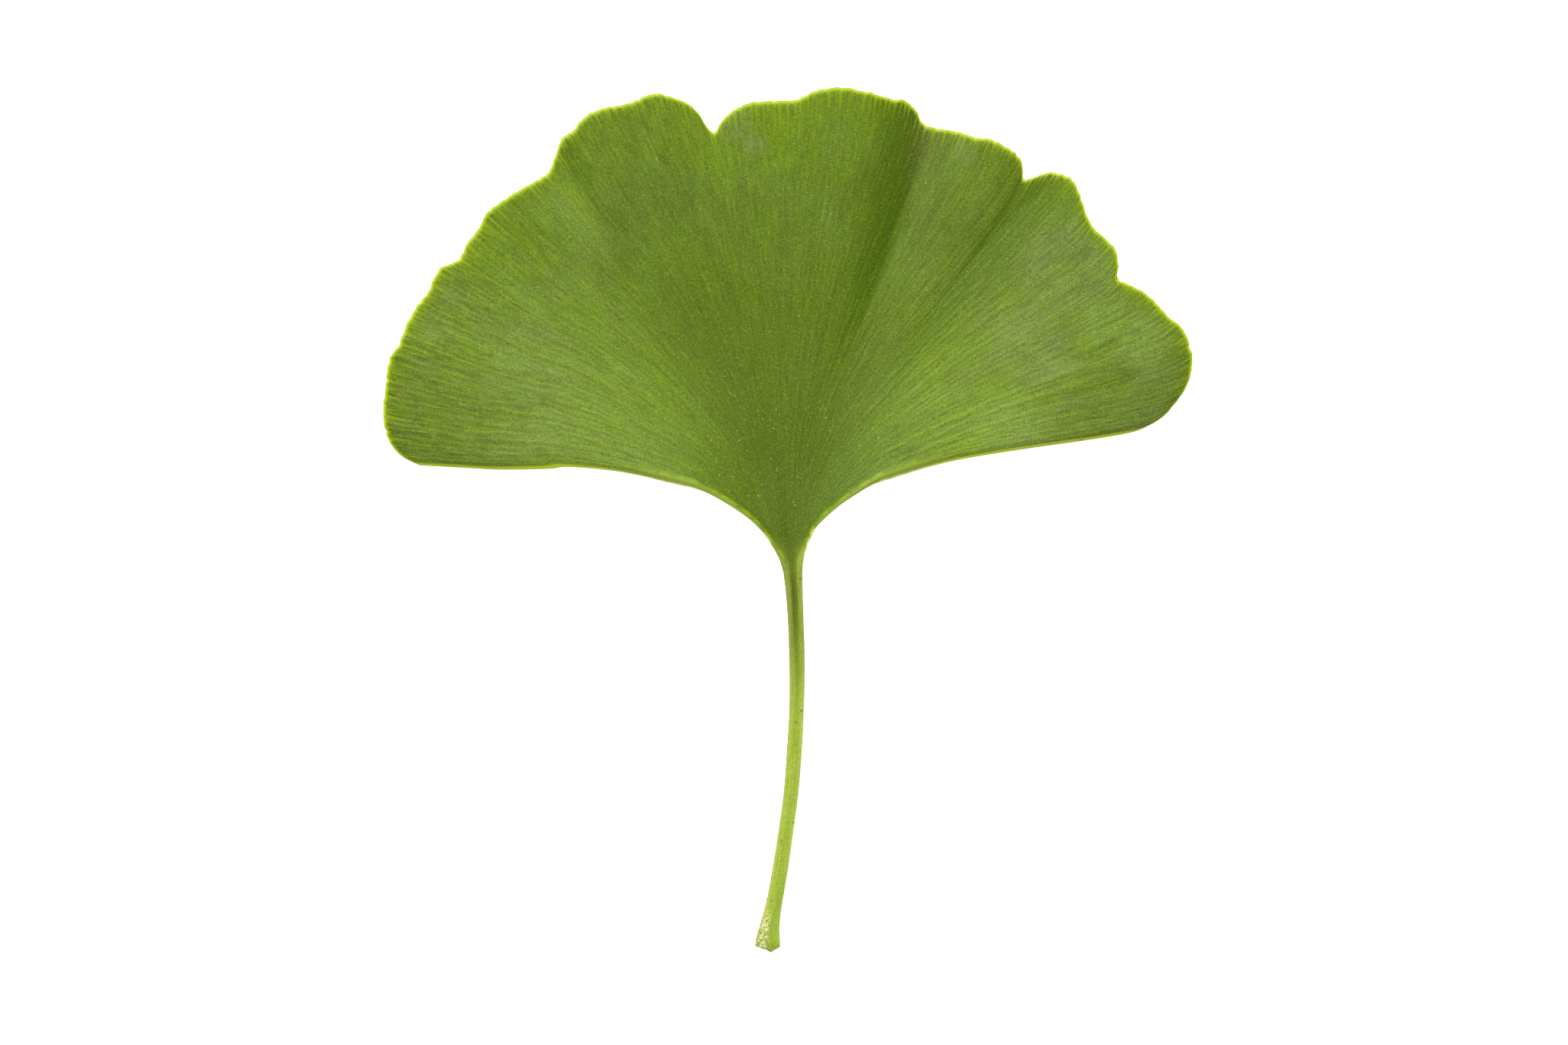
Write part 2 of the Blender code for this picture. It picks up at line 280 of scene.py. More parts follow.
def crown_point(u):
    curve = smooth_curve(CROWN)
    radius = np.interp(-vein_angle(u), -polar_degrees(curve), np.hypot(*curve.T))
    radius = radius + EDGE_WANDER * wander(u, EDGE_WAVES, seed=11)
    angle = np.radians(vein_angle(u))
    return np.stack([radius * np.cos(angle), radius * np.sin(angle)], axis=-1)


def blade_plan(u, v):
    """Plan of the blade, where v is 0 at the neck and 1 at the crown. Each row is a chord from one lower
    margin to the other, bulged by its share of the crown."""
    chord = (1 - u)[..., None] * along(LEFT_MARGIN, v) + u[..., None] * along(RIGHT_MARGIN, v)
    tips = (1 - u)[..., None] * np.array(CROWN[0]) + u[..., None] * np.array(CROWN[-1])
    return chord + v[..., None] * (crown_point(u) - tips)


def stalk_plan(u, share):
    """Plan of the stalk, where share is 0 at its foot and 1 at the neck."""
    curve = smooth_curve(STALK)
    y = STALK[0][0] + share * (STALK[-1][0] - STALK[0][0])
    left, right = (np.interp(y, curve[:, 0], curve[:, k]) for k in (1, 2))
    beads = BEAD_HEIGHT * np.clip(wander(share, BEAD_WAVES, seed=31), 0, 2)
    beads *= smoothstep(BEAD_END, BEAD_END - BEAD_REACH, y)
    x = left + (right - left) * u - beads * smoothstep(0.2, 0.0, u)
    point = FOOT_POINT * 2 * np.abs(u - FOOT_POINT_SHARE) * smoothstep(FOOT_POINT_END, STALK[0][0], y)
    return np.stack([x, y + point], axis=-1)


def fold_depth(u, v):
    depth = np.zeros_like(u)
    for crease, deepest, left_reach, right_reach, start, sharpness in FOLDS:
        off = vein_angle(u) - crease + FOLD_DRIFT * (1 - v)
        reach = np.where(off > 0, left_reach, right_reach)
        depth += deepest * np.exp(-np.abs(off / reach) ** sharpness) * smoothstep(start, 1.0, v)
    return depth


def vein_distance(share, v):
    """How far a place is from the nearest vein, in millimetres. It takes arrays and node values alike."""
    nearest = 0.0
    drawn_apart = 0.0
    for order in range(VEIN_ORDERS):
        count = FIRST_VEINS * 2**order
        cell = share * count
        inside = cell % 1.0
        scatter = ((cell - inside) * GOLDEN + 0.37 * order) % 1.0
        fork = FORK_SPACE * count / FAN_WIDTH * (1 - FORK_SCATTER + 2 * FORK_SCATTER * scatter)
        apart = smoothstep(fork, fork * (1 + FORK_SPREAD), v)
        off = abs(abs(inside - 0.5) - 0.25 * apart) * v * (FAN_WIDTH / count)
        nearest = nearest + (off - nearest) * (v > drawn_apart)
        drawn_apart = fork * (1 + FORK_SPREAD)
    return nearest


def blade_underside(u, v, column):
    """Height of the blade's smooth underside: a shallow dish with raised lower margins, folded along its
    veins."""
    side = np.abs(2 * u - 1)
    height = LOWEST + (NECK_HEIGHT - LOWEST) * (1 - v) ** NECK_POWER
    height += (CROWN_HEIGHT - TIP_DROP * side**4) * v**CROWN_POWER
    height += MARGIN_LIFT * side**MARGIN_POWER * np.sin(math.pi * v**MARGIN_PEAK)
    height += WAVE_HEIGHT * np.sin(2 * math.pi * WAVES * u) * smoothstep(0.5, 1.0, v)
    ribs = wander(column, RIB_WAVES, seed=3) * (0.7 + 0.3 * wander(column, RIB_GROUPS, seed=5))
    height += RIB_HEIGHT * ribs * smoothstep(0.1, 0.45, v)
    return np.maximum(height - fold_depth(u, v), LOWEST)


def stalk_underside(y):
    return FOOT_HEIGHT + (NECK_HEIGHT - FOOT_HEIGHT) * smoothstep(STALK_LEVEL_END, STALK[-1][0], y)


def rest_on_low_points(plan, under):
    """The underside let down to the table at the three low points."""
    for x, y, flat in LOW_POINTS:
        from_spot = np.hypot(plan[:, 0] - x, plan[:, 1] - y) - flat
        under = np.minimum(under, LOW_POINT_SLOPE * np.maximum(from_spot, 0.0))
    return under


def stalk_section(across, share):
    """Rise of the underside and thickness of the round, grooved stalk, where across is -1 to 1."""
    foot = FOOT_TAPER + (1 - FOOT_TAPER) * smoothstep(0, FOOT_TAPER_REACH, share)
    oval = np.sqrt(np.clip(1 - across**2, 0, 1))
    thickness = (STALK_RIM + (STALK_THICKNESS - STALK_RIM) * oval) * foot
    groove = GROOVE_DEPTH * np.exp(-((across / GROOVE_WIDTH) ** 2))
    groove *= smoothstep(GROOVE_START, GROOVE_FULL, share)
    return (STALK_THICKNESS - thickness) / 2, thickness - groove


def margin_distance(across, v):
    """How far a place on the blade is from the lower margin on its side."""
    return (1 - np.abs(across)) * (STALK_THICKNESS + FAN_WIDTH * v) / 2


def blade_section(across, v, column, from_crown):
    """Thickness of the blade: thin at its edges, raised along the veins, with a lip along each lower margin
    that dies away towards the tips."""
    from_margin = margin_distance(across, v)
    lip = np.exp(-(((from_margin - LIP_WIDTH / 2) / LIP_WIDTH) ** 2)) * (1 - smoothstep(0, LIP_REACH, v))
    inwards = smoothstep(0.0, EDGE_REACH, np.minimum(from_crown, from_margin))
    thickness = EDGE_THICKNESS + (BLADE_THICKNESS - EDGE_THICKNESS) * inwards
    vein = np.exp(-((vein_distance(column, v) / VEIN_WIDTH) ** 2)) * smoothstep(0.05, 0.3, v)
    return thickness + LIP_HEIGHT * lip + VEIN_HEIGHT * vein * inwards


def foot_grains(across, y):
    """Small grains on the left side of the stalk's foot, where it broke away from its twig."""
    grains = wander(y / 10, GRAIN_WAVES_ALONG, seed=21) * wander(across, GRAIN_WAVES_ACROSS, seed=22)
    return GRAIN_HEIGHT * grains * smoothstep(GRAIN_END, GRAIN_END - 2, y) * smoothstep(0.3, -0.3, across)


def place(column, u, v):
    """Points on the underside, the thickness there, the share across and the distances from crown and margin,
    for the share u of the way across and the row v, which is -1 at the foot, 0 at the neck and 1 at the
    crown."""
    blade_v = np.clip(v, 0, 1)
    stalk_share = np.clip(v + 1, 0, 1)
    body = smoothstep(NECK_REACH, 0.0, blade_v)
    u = u + ((1 - np.cos(math.pi * u)) / 2 - u) * body
    across = 2 * u - 1
    plan = np.where((v > 0)[:, None], blade_plan(u, blade_v), stalk_plan(u, stalk_share))
    under = np.where(v > 0, blade_underside(u, blade_v, column), stalk_underside(plan[:, 1]))
    belly, stalk_thickness = stalk_section(across, stalk_share)
    stalk_thickness = stalk_thickness + foot_grains(across, plan[:, 1])
    from_crown = np.hypot(*(crown_point(u) - plan).T)
    blade_thickness = blade_section(across, blade_v, column, from_crown)
    thickness = blade_thickness + (stalk_thickness - blade_thickness) * body
    under += belly * body
    rest = rest_on_low_points(plan, under)
    from_margin = margin_distance(across, blade_v)
    return np.column_stack([plan, rest]), thickness + under - rest, across, from_crown, from_margin


def columns_at(v):
    """How many columns a row has: it doubles on the way out, as the veins fork."""
    count = STALK_COLUMNS
    while count < COLUMNS and max(v, 0.0) * FAN_WIDTH / count > COLUMN_WIDTH:
        count *= 2
    return count


def row_shares():
    foot = np.linspace(0, FOOT_SHARE, FOOT_ROWS, endpoint=False)
    stalk = np.concatenate([foot, np.linspace(FOOT_SHARE, 1, STALK_ROWS, endpoint=False)]) - 1
    blade = np.linspace(0, 1, BLADE_ROWS, endpoint=False) ** ROW_CROWDING
    edge = 1 - np.array([*EDGE_ROWS, 0.0]) / FAN_RADIUS
    return np.concatenate([stalk, blade, edge])


def column_shares(column, v):
    """Share of the way across of each column: even in the stalk, and even along the margin at the crown."""
    by_crown = (LEFT_ANGLE - polar_degrees(along(CROWN, column))) / (LEFT_ANGLE - RIGHT_ANGLE)
    return column + (by_crown - column) * smoothstep(0.0, 0.5, v)


def deselect_all():
    for other in bpy.context.view_layer.objects:
        other.select_set(False)
    bpy.context.view_layer.objects.active = None


def read_floats(collection, name, width=1):
    """The named numbers of each item of a mesh, one row an item."""
    values = np.empty(len(collection) * width, np.float32)
    collection.foreach_get(name, values)
    return values.reshape(-1, width) if width > 1 else values


def keep_floats(mesh, name, values):
    """Keeps one number a point on the mesh, for its shape or its materials."""
    mesh.attributes.new(name, "FLOAT", "POINT").data.foreach_set("value", values.astype(np.float32))


def unfold(mesh, column, v):
    """The leaf's own map: across it by columns, and up from the foot of the stalk to the crown."""
    layer = mesh.uv_layers.new(name=UV_NAME)
    corner = np.empty(len(mesh.loops), int)
    mesh.loops.foreach_get("vertex_index", corner)
    layer.data.foreach_set("uv", np.column_stack([column, (v + 1) / 2])[corner].astype(np.float32).ravel())


def leaf_sheet():
    """The blade and stalk in one sheet at the height of the leaf's underside, with its numbers kept on it."""
    rows = row_shares()
    deselect_all()
    bpy.ops.mesh.primitive_grid_add(x_subdivisions=COLUMNS, y_subdivisions=len(rows) - 1, size=2.0)
    leaf = bpy.context.object
    leaf.name = leaf.data.name = "leaf_surface"
    mesh = leaf.data
    grid = read_floats(mesh.vertices, "co", 3)
    number = np.round((grid[:, 0] + 1) / 2 * COLUMNS)
    row = np.round((grid[:, 1] + 1) / 2 * (len(rows) - 1)).astype(int)
    step = np.array([COLUMNS // columns_at(v) for v in rows])[row]
    column = np.round(number / step) * step / COLUMNS
    v = rows[row]
    points, thickness, across, from_crown, from_margin = place(column, column_shares(column, v), v)
    low, high = (np.array(corner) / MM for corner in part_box(NODE))
    plan_low, plan_high = points[:, :2].min(axis=0), points[:, :2].max(axis=0)
    points[:, :2] = low[:2] + (points[:, :2] - plan_low) * (high[:2] - low[:2]) / (plan_high - plan_low)
    keep_floats(mesh, "thickness", thickness)
    keep_floats(mesh, "across", across)
    keep_floats(mesh, "from_crown", from_crown)
    keep_floats(mesh, "from_margin", from_margin)
    unfold(mesh, column, v)
    mesh.vertices.foreach_set("co", (points * MM).astype(np.float32).ravel())
    return leaf


def give_thickness(leaf):
    """Closes the sheet into a solid blade: both faces are split alike, and the upper one lies at its own
    height above the lower."""
    bpy.ops.object.mode_set(mode="EDIT")
    bpy.ops.mesh.select_all(action="SELECT")
    bpy.ops.mesh.remove_doubles(threshold=MERGE_DISTANCE * MM)
    bpy.ops.mesh.quads_convert_to_tris(quad_method="SHORTEST_DIAGONAL")
    bpy.ops.object.mode_set(mode="OBJECT")
    count = len(leaf.data.vertices)
    solidify = leaf.modifiers.new("thickness", "SOLIDIFY")
    solidify.thickness = MM
    solidify.offset = 1.0
    solidify.use_rim = True
    bpy.ops.object.modifier_apply(modifier=solidify.name)
    mesh = leaf.data
    points = read_floats(mesh.vertices, "co", 3)
    thickness = read_floats(mesh.attributes["thickness"].data, "value")
    points[:count] = points[count:]
    points[:count, 2] += thickness[:count] * MM
    mesh.vertices.foreach_set("co", points.ravel())
    lower = [min(face.vertices) >= count for face in mesh.polygons]
    mesh.polygons.foreach_set("material_index", np.array(lower, int))
    mesh.update()
    mesh.shade_smooth()


class Value:
    """A number, colour or vector in a material's nodes, with operators that let shader maths read as sums."""

    def __init__(self, tree, socket=None):
        self.tree = tree
        self.socket = socket

    def node(self, kind, settings=None, sockets=None, output=0):
        """Adds a node: its settings come first, then the values or links of its sockets."""
        node = self.tree.nodes.new(kind)
        for name, setting in (settings or {}).items():
            setattr(node, name, setting)
        for key, value in (sockets or {}).items():
            if isinstance(value, Value):
                self.tree.links.new(value.socket, node.inputs[key])
            else:
                node.inputs[key].default_value = value
        return Value(self.tree, node.outputs[output])

    def math(self, operation, *values):
        return self.node("ShaderNodeMath", {"operation": operation}, dict(enumerate(values)))

    def __add__(self, other):
        return self.math("ADD", self, other)

    def __sub__(self, other):
        return self.math("SUBTRACT", self, other)

    def __rsub__(self, other):
        return self.math("SUBTRACT", other, self)

    def __mul__(self, other):
        return self.math("MULTIPLY", self, other)

    def __truediv__(self, other):
        return self.math("DIVIDE", self, other)

    def __mod__(self, other):
        return self.math("FLOORED_MODULO", self, other)

    def __abs__(self):
        return self.math("ABSOLUTE", self)

    def __gt__(self, other):
        return self.math("GREATER_THAN", self, other)

    __radd__ = __add__
    __rmul__ = __mul__

    def clip(self, low, high):
        return self.node("ShaderNodeClamp", {}, {0: self, 1: low, 2: high})

    def least(self, other):
        return self.math("MINIMUM", self, other)

    def bell(self, width):
        """1 where the value is nothing, and dying away to both sides over this width."""
        return self.math("EXPONENT", self * self * (-1 / width**2))

    def colour(self, linear):
        """A plain colour to paint on."""
        plain = self.node("ShaderNodeRGB")
        plain.socket.default_value = linear
        return plain

    def attribute(self, name):
        return self.node("ShaderNodeAttribute", {"attribute_name": name}, output=2)

    def parts(self):
        """The three numbers of a vector."""
        outputs = self.node("ShaderNodeSeparateXYZ", {}, {0: self}).socket.node.outputs
        return [Value(self.tree, output) for output in outputs]

    def vector(self, x, y, z=0.0):
        return self.node("ShaderNodeCombineXYZ", {}, {0: x, 1: y, 2: z})

    def noise(self, scale, detail=2.0, roughness=0.5):
        """Cloudy noise at the place that this vector gives."""
        sockets = {"Vector": self, "Scale": scale, "Detail": detail, "Roughness": roughness}
        return self.node("ShaderNodeTexNoise", {}, sockets)

    def away_from(self, x, y):
        """How far a place is from a point of the plan."""
        sockets = {0: self, 1: (x, y, 0.0)}
        return self.node("ShaderNodeVectorMath", {"operation": "DISTANCE"}, sockets, output=1)

    def towards(self, colour, share):
        """This colour mixed with another by the share of it."""
        sockets = {0: share, 6: self, 7: colour}
        return self.node("ShaderNodeMix", {"data_type": "RGBA"}, sockets, output=2)

    def scaled(self, factor):
        return self.node("ShaderNodeVectorMath", {"operation": "SCALE"}, {0: self, "Scale": factor})


def new_material(name, specular):
    """A material, its shader, and a first value to build its nodes from."""
    material = bpy.data.materials.new(name)
    material.use_nodes = True
    shader = material.node_tree.nodes["Principled BSDF"]
    shader.inputs["Specular IOR Level"].default_value = specular
    return material, shader, Value(material.node_tree)


def finish_shader(shader, colour, roughness, height):
    """Leads the painted colour, roughness and relief, whose height is in millimetres, into the shader."""
    normal = height.node("ShaderNodeBump", {}, {"Strength": 1.0, "Distance": MM, "Height": height})
    for name, value in (("Base Color", colour), ("Roughness", roughness), ("Normal", normal)):
        value.tree.links.new(value.socket, shader.inputs[name])


class LeafPlace:
    """Where a point of the leaf is, in the terms that its materials use."""

    def __init__(self, start):
        self.start = start
        self.column, rise, _ = start.node("ShaderNodeUVMap", {"uv_map": UV_NAME}).parts()
        self.v = 2 * rise - 1
        self.across = start.attribute("across")
        self.from_crown = start.attribute("from_crown")
        self.from_margin = start.attribute("from_margin")
        coordinates = start.node("ShaderNodeTexCoord", output=3)
        sockets = {0: coordinates, 1: (1 / MM, 1 / MM, 1 / MM), 2: (*BOX_MIDDLE, 0.0)}
        self.plan = start.node("ShaderNodeVectorMath", {"operation": "MULTIPLY_ADD"}, sockets)
        x, self.y, _ = self.plan.parts()
        self.flat = start.vector(x, self.y)

    def streaks(self, across, along_it, seed, detail):
        """Noise drawn out along the veins: about this many patches across the leaf, and along the blade."""
        return self.start.vector(self.column * across, self.v * along_it, seed).noise(1.0, detail)

    def near(self, spots):
        """1 in the middle of each spot, given as x, y and radius in millimetres, and 0 beyond it."""
        nearest = 1.0
        for x, y, radius in spots:
            nearest = (self.flat.away_from(x, y) / radius).least(nearest)
        return smoothstep(1.0, SPOT_CORE, nearest)


# The colours, all linear: the greens of the blade, then those of its edges and lips, of the stalk and its
# foot, of the small marks, and of the underside.
WEDGE_GREEN = (0.092, 0.149, 0.004, 1.0)
LOBE_GREEN = (0.134, 0.207, 0.012, 1.0)
CROWN_GREEN = (0.122, 0.196, 0.005, 1.0)
NECK_GREEN = (0.056, 0.09, 0.001, 1.0)
# The next five paint shade in the folds and creases, the grey bloom with its painted sheen, patches of
# painted light, and shade in the hollows between veins.
FOLD_SHADE_GREEN = (0.055, 0.098, 0.0, 1.0)
CREASE_SHADE_GREY = (0.09, 0.112, 0.018, 1.0)
BLOOM_AND_SHEEN_GREY = (0.142, 0.188, 0.055, 1.0)
PAINTED_LIGHT_GREEN = (0.185, 0.265, 0.05, 1.0)
HOLLOW_SHADE_GREEN = (0.055, 0.092, 0.008, 1.0)
GRAIN_DARK = (0.05, 0.09, 0.016, 1.0)
GRAIN_LIGHT = (0.23, 0.315, 0.02, 1.0)
RAY_GREEN = (0.22, 0.32, 0.005, 1.0)
# The rim green is partly the edge's own colour and partly a painted glow of light through the thin edge.
RIM_GREEN = (0.36, 0.46, 0.01, 1.0)
LIP_LIGHT = (0.205, 0.305, 0.015, 1.0)
LIT_LIP_OUTSIDE = (0.205, 0.27, 0.03, 1.0)
LIP_EDGE = (0.62, 0.57, 0.2, 1.0)
STALK_GREEN = (0.27, 0.365, 0.035, 1.0)
STALK_PALE = (0.38, 0.46, 0.1, 1.0)
STALK_SHADE = (0.13, 0.195, 0.01, 1.0)
FACET_GREEN = (0.215, 0.32, 0.025, 1.0)
CALLUS = (0.62, 0.66, 0.27, 1.0)
CALLUS_GAP = (0.12, 0.16, 0.03, 1.0)
BEAD_TAN = (0.42, 0.3, 0.09, 1.0)
TAN = (0.30, 0.20, 0.07, 1.0)
BROWN = (0.2, 0.09, 0.025, 1.0)
WAX_WHITE = (0.36, 0.43, 0.14, 1.0)
UNDER_GREEN = (0.185, 0.265, 0.065, 1.0)
UNDER_VEIN = (0.25, 0.34, 0.12, 1.0)

# Zones across the blade, from -1 at the left margin to 1 at the right: where each begins and where it is
# full. The two shoulders are bells instead, each with its middle and its width.
LEFT_LOBE = (-0.3, -0.84)
RIGHT_LOBE = (0.3, 0.76)
OUTER_PARTS = (0.45, 0.85)
TIPS = (0.72, 0.92)
LEFT_SIDE = (0.1, -0.15)
WEDGE_MIDDLE = 0.04
WEDGE_SIDES = (0.62, 0.38)
LEFT_SHOULDER = (-0.3, 0.13)
RIGHT_SHOULDER = (0.4, 0.17)

# Zones along the blade, from 0 at the neck to 1 at the crown, in the same way.
NECK_END = (0.4, 0.06)
WEDGE_END = (0.72, 0.42)
LOBES_BEGIN = (0.14, 0.54)
LOBES_FADE = (0.72, 1.0)
SHOULDERS_BEGIN = (0.6, 0.8)
TIPS_BEGIN = (0.6, 0.9)
CROWN_BEGINS = (0.74, 0.96)
CROWN_STREAKS_BEGIN = (0.7, 0.92)
BLOOM_AND_SHEEN_BEGIN = (0.4, 0.75)
OUTER_BLOOM_AND_SHEEN_BEGIN = (0.8, 0.95)
DEEP_FOLD_BEGINS = (0.25, 0.6)
NOTCH_FOLD_BEGINS = (0.3, 0.55)
NOTCH_CREASE_BEGINS = (0.55, 0.8)
LIPS_END = (0.3, 0.52)

# Zones by their height in the plan, in millimetres: the tips, then the parts of the stalk, where the upper
# face and the underside of the blade pass into it first.
TIPS_BELOW = (33.0, 22.0)
STALK_BEGINS = (2.5, -3.0)
STALK_BEGINS_BELOW = (7.0, -5.0)
STALK_GROOVE = (-24.0, -4.0)
STALK_SHADOW = (-21.0, -9.0)
FOOT_FACET = (-38.0, -43.0)
FOOT_BEADS = (-41.0, -44.0)
FOOT_CALLUS = (-44.0, -46.5)

# Noise drawn out along the veins: patches across the leaf, patches along the blade, seed and detail.
BLOOM_STREAKS = (60, 5, 1.0, 3.0)
BANDS = (50, 5, 7.0, 3.0)
MIDDLING_STREAKS = (130, 9, 6.0, 2.0)
FINE_STREAKS = (300, 24, 3.0, 2.0)
VEIN_STREAKS = (150, 13, 5.0, 2.0)
HOLLOW_STREAKS = (120, 4, 9.0, 2.0)
RAY_STREAKS = (330, 3, 2.0, 1.0)
RIM_STREAKS = (500, 2, 4.0, 2.0)
UNDER_BANDS = (50, 4, 1.0, 3.0)
UNDER_VEIN_STREAKS = (90, 8, 5.0, 2.0)

# Noise that is alike in all directions: patches a millimetre, detail and roughness.
CLOUDS = (0.14, 3.0, 0.5)
GRAIN = (4.4, 1.5, 0.75)
PORES = (7.0, 1.0, 0.5)
WAX = (3.1, 2.0, 0.6)
LIP_RAGS = (0.9, 3.0, 0.5)
CALLUS_GRAINS = (3.4, 3.0, 0.7)
STALK_MOTTLE = (3.2, 2.0, 0.75)
UNDER_GRAIN = (5.0, 2.0, 0.7)

# Patches of painted grey sheen and of painted light, and the small marks of the blade and stalk, each with
# its place and radius.
# Each is at its full strength within this share of its radius.
SPOT_CORE = 0.35
PAINTED_LIGHT_PATCHES = ((38.6, 28.6, 4.5), (43.2, 26.4, 5.0), (27.5, 14.6, 6.5))
SHEEN_PATCHES = (
    (-7.2, 53.0, 3.2), (-4.5, 50.5, 2.0), (21.5, 49.5, 2.0), (34.0, 34.5, 8.0), (30.0, 25.5, 7.0),
)
BROWN_SPECKS = (
    (-36.1, 17.5, 0.3), (-27.2, 17.8, 0.28), (-48.7, 19.9, 0.4), (37.7, 18.8, 0.3), (6.6, 49.4, 0.25),
    (28.0, 47.3, 0.35), (40.4, 33.8, 0.3), (-0.3, -0.8, 0.22), (0.5, -1.5, 0.2), (1.1, -3.4, 0.25),
    (0.9, -4.8, 0.18), (1.3, -19.7, 0.25), (0.65, -21.1, 0.22), (0.3, -33.6, 0.2), (-1.2, -35.8, 0.2),
    (-2.35, -43.3, 0.2), (-3.5, -49.35, 0.4), (-2.7, -49.6, 0.35),
)
TAN_SPECKS = (
    (32.1, 13.3, 0.35), (36.0, 13.9, 0.4), (42.5, 15.1, 0.35), (-39.9, 31.8, 0.3), (-38.8, 36.6, 0.25),
)


class BladeZones:
    """Where a place is on the blade: its degrees from the creases, and its share of each zone from 0 to 1."""

    def __init__(self, at):
        middle, half = (LEFT_ANGLE + RIGHT_ANGLE) / 2, (RIGHT_ANGLE - LEFT_ANGLE) / 2
        bearing = middle + half * at.across
        drifted = bearing + FOLD_DRIFT * (1 - at.v)
        self.from_fold = drifted - DEEP_FOLD
        self.from_notch = drifted - NOTCH_FOLD
        self.from_strip = bearing - STRIP_ANGLE
        lobes = smoothstep(*LEFT_LOBE, at.across) + smoothstep(*RIGHT_LOBE, at.across)
        self.lobes = lobes * smoothstep(*LOBES_BEGIN, at.v) * (1 - 0.4 * smoothstep(*LOBES_FADE, at.v))
        self.wedge = smoothstep(*WEDGE_SIDES, abs(at.across - WEDGE_MIDDLE)) * smoothstep(*WEDGE_END, at.v)
        tips = smoothstep(*TIPS, abs(at.across)) * smoothstep(*TIPS_BEGIN, at.v)
        self.tips = tips * smoothstep(*TIPS_BELOW, at.y)
        bells = [(at.across - middle).bell(width) for middle, width in (LEFT_SHOULDER, RIGHT_SHOULDER)]
        self.shoulders = (bells[0] + bells[1]) * smoothstep(*SHOULDERS_BEGIN, at.v)
        self.outer = smoothstep(*OUTER_PARTS, abs(at.across))
        self.left_crown = smoothstep(*LEFT_SIDE, at.across) * smoothstep(*CROWN_STREAKS_BEGIN, at.v)
        left_of_fold = (self.from_fold - 1.6).bell(5.2) * smoothstep(-1.5, 0.2, self.from_fold)
        self.left_of_fold = left_of_fold * smoothstep(*DEEP_FOLD_BEGINS, at.v)


def blade_green(at, zones):
    """The blade's broad greens, partly its own tone and partly painted light and shade of its slopes: lobes
    lighter where they face the lamp, a darker wedge between them, and the dark neck, with painted shade in
    its trough.
    """
    colour = at.start.colour(WEDGE_GREEN).towards(LOBE_GREEN, zones.lobes)
    colour = colour.towards(CROWN_GREEN, smoothstep(*CROWN_BEGINS, at.v) * (1 - zones.lobes))
    colour = colour.towards(NECK_GREEN, zones.wedge * 0.46)
    colour = colour.towards(NECK_GREEN, smoothstep(*NECK_END, at.v) * 0.6)
    # Painted shade darkens the tips and the shoulders.
    return colour.scaled(1 - 0.28 * zones.tips - 0.2 * zones.shoulders)


def dust_with_bloom_and_sheen(colour, at, zones, clouds):
    """The grey bloom lies in drawn-out patches between the veins, more on the lobes than on the wedge; on the
    lobes and outer parts, which face the lamp, it is painted grey sheen as well, and it thins to the left of
    the deep fold, which faces away.
    """
    patches = smoothstep(0.42, 0.68, at.streaks(*BLOOM_STREAKS))
    # Painted sheen: the share grows on the lobes and the outer parts that face the lamp.
    bloom_and_sheen_share = 0.07 + 0.15 * smoothstep(*BLOOM_AND_SHEEN_BEGIN, at.v) + 0.36 * zones.lobes
    bloom_and_sheen_share = bloom_and_sheen_share + 0.3 * zones.outer * smoothstep(*OUTER_BLOOM_AND_SHEEN_BEGIN, at.v) * (1 - zones.tips)
    bloom = (0.2 + 0.35 * patches + 0.45 * clouds) * bloom_and_sheen_share
    bloom = bloom * smoothstep(0.3, 2.5, at.from_crown) * (1 - 0.8 * zones.left_of_fold)
    # Grey patches of painted sheen, then patches of painted light.
    colour = colour.towards(BLOOM_AND_SHEEN_GREY, bloom + at.near(SHEEN_PATCHES) * 0.38)
    return colour.towards(PAINTED_LIGHT_GREEN, at.near(PAINTED_LIGHT_PATCHES) * 0.5)


def shade_folds(colour, at, zones):
    """Painted shade: the deep fold is dark on its left, and turns light at once to the right of its crease
    with painted sheen. The fold of the notch is painted dark along its crease and to the right of it."""
    colour = colour.towards(FOLD_SHADE_GREEN, zones.left_of_fold * 0.95)
    right_of_fold = (zones.from_fold + 2.5).bell(2.2) * smoothstep(0.55, 0.9, at.v)
    colour = colour.towards(BLOOM_AND_SHEEN_GREY, right_of_fold * 0.2)
    crease = (zones.from_fold + 0.3).bell(1.6) * smoothstep(0.8, 0.96, at.v)
    colour = colour.towards(CREASE_SHADE_GREY, crease * 0.75)
    right_of_notch = (zones.from_notch + 0.6).bell(5.0) * smoothstep(1.4, 0.2, zones.from_notch)
    colour = colour.towards(FOLD_SHADE_GREEN, right_of_notch * smoothstep(*NOTCH_FOLD_BEGINS, at.v) * 0.55)
    notch_crease = zones.from_notch.bell(0.5) * smoothstep(*NOTCH_CREASE_BEGINS, at.v)
    return colour.towards(FOLD_SHADE_GREEN, notch_crease * 0.35)


def paint_sheen_and_shade_by_left_shoulder(colour, at, zones):
    """A pale patch of painted sheen under the left shoulder, a light streak in it, and painted shade on the
    darker fold beside it.
    """
    pale = (zones.from_strip - 1.8).bell(2.8) * smoothstep(0.7, 0.84, at.v) * smoothstep(1.0, 0.92, at.v)
    colour = colour.towards(PAINTED_LIGHT_GREEN, pale * 0.42)
    strip = zones.from_strip.bell(0.7) * smoothstep(0.8, 0.84, at.v) * smoothstep(0.94, 0.9, at.v)
    colour = colour.towards(RAY_GREEN, strip * 0.2)
    beside = (zones.from_strip + 2.6).bell(1.2) * smoothstep(0.8, 0.97, at.v)
    return colour.towards(FOLD_SHADE_GREEN, beside * 0.65)


